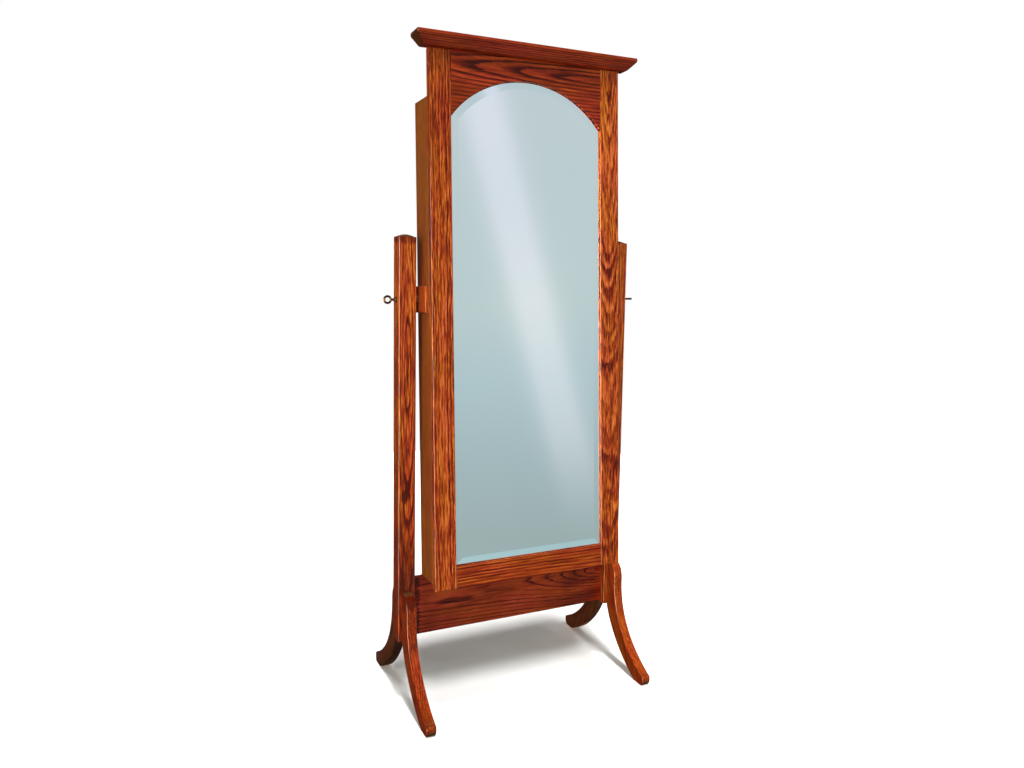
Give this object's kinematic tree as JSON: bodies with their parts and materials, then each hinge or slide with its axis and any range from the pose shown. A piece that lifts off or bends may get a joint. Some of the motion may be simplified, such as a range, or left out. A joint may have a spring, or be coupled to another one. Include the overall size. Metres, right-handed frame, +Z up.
{
  "type": "cheval mirror",
  "caption": "Free-standing tilting dressing mirror of stained oak whose arched, bevelled glass is the door of a shallow jewellery cabinet hung between two posts on sabre legs.",
  "frame": {"origin": "on the floor, midway between the four feet", "axes": "+Z up, +X to the right of someone who looks into the mirror, +Y away from them; the mirror faces -Y"},
  "size_m": [0.7728, 0.492, 1.8103],
  "materials": {
    "oak": "gloss lacquer",
    "dark_oak": "gloss lacquer",
    "shaded_oak": "satin lacquer",
    "beech": "bare",
    "brass": "antiqued",
    "bright_brass": "polished",
    "steel": "plated",
    "velvet": "velvet",
    "fibre": "matt",
    "magnet_case": "matt",
    "mirror": "polished"
  },
  "bodies": {
    "stand": {"left_post": "oak", "right_post": "oak", "stretcher": "dark_oak", "left_front_leg": "oak", "left_back_leg": "oak", "right_front_leg": "oak", "right_back_leg": "oak", "left_front_leg_lower_dowel": "beech", "left_front_leg_upper_dowel": "beech", "left_back_leg_lower_dowel": "beech", "left_back_leg_upper_dowel": "beech", "right_front_leg_lower_dowel": "beech", "right_front_leg_upper_dowel": "beech", "right_back_leg_lower_dowel": "beech", "right_back_leg_upper_dowel": "beech"},
    "cabinet": {"cabinet_left_side": "shaded_oak", "cabinet_right_side": "shaded_oak", "cabinet_top": "shaded_oak", "cabinet_bottom": "shaded_oak", "cabinet_back": "shaded_oak", "lining_panel": "velvet", "left_pivot_block": "dark_oak", "right_pivot_block": "dark_oak", "left_threaded_insert": "bright_brass", "right_threaded_insert": "bright_brass", "left_pivot_spacer": "fibre", "right_pivot_spacer": "fibre", "lower_shelf": "shaded_oak", "middle_shelf": "shaded_oak", "upper_shelf": "shaded_oak", "necklace_rail": "shaded_oak", "necklace_hook_1": "bright_brass", "necklace_hook_2": "bright_brass", "necklace_hook_3": "bright_brass", "necklace_hook_4": "bright_brass", "magnetic_catch": "magnet_case", "upper_hinge_cabinet_leaf": "bright_brass", "middle_hinge_cabinet_leaf": "bright_brass", "lower_hinge_cabinet_leaf": "bright_brass", "upper_hinge_pin": "bright_brass", "middle_hinge_pin": "bright_brass", "lower_hinge_pin": "bright_brass"},
    "door": {"door_left_stile": "oak", "door_right_stile": "oak", "door_bottom_rail": "oak", "door_top_rail": "dark_oak", "mirror_glass": "mirror", "mirror_backing": "shaded_oak", "crown_board": "dark_oak", "left_lower_mirror_clip": "steel", "left_upper_mirror_clip": "steel", "right_lower_mirror_clip": "steel", "right_upper_mirror_clip": "steel", "upper_hinge_door_leaf": "bright_brass", "middle_hinge_door_leaf": "bright_brass", "lower_hinge_door_leaf": "bright_brass", "strike_plate": "steel"},
    "left_thumbscrew": {"left_thumbscrew": "brass"},
    "right_thumbscrew": {"right_thumbscrew": "brass"}
  },
  "joints": [
    {"name": "tilt", "type": "hinge", "parent": "stand", "child": "cabinet", "pos_m": [0, 0, 1.11941], "axis": [1, 0, 0], "range_deg": [-11.5, 6]},
    {"name": "door_swing", "type": "hinge", "parent": "cabinet", "child": "door", "pos_m": [0.287, -0.07312, 1.12384], "axis": [0, 0.0605, 0.9982], "range_deg": [0, 95]},
    {"name": "left_thumbscrew_turn", "type": "hinge", "parent": "cabinet", "child": "left_thumbscrew", "pos_m": [-0.3508, 0, 1.11941], "axis": [-1, 0, 0], "continuous": true},
    {"name": "right_thumbscrew_turn", "type": "hinge", "parent": "cabinet", "child": "right_thumbscrew", "pos_m": [0.3508, 0, 1.11941], "axis": [1, 0, 0], "continuous": true}
  ]
}
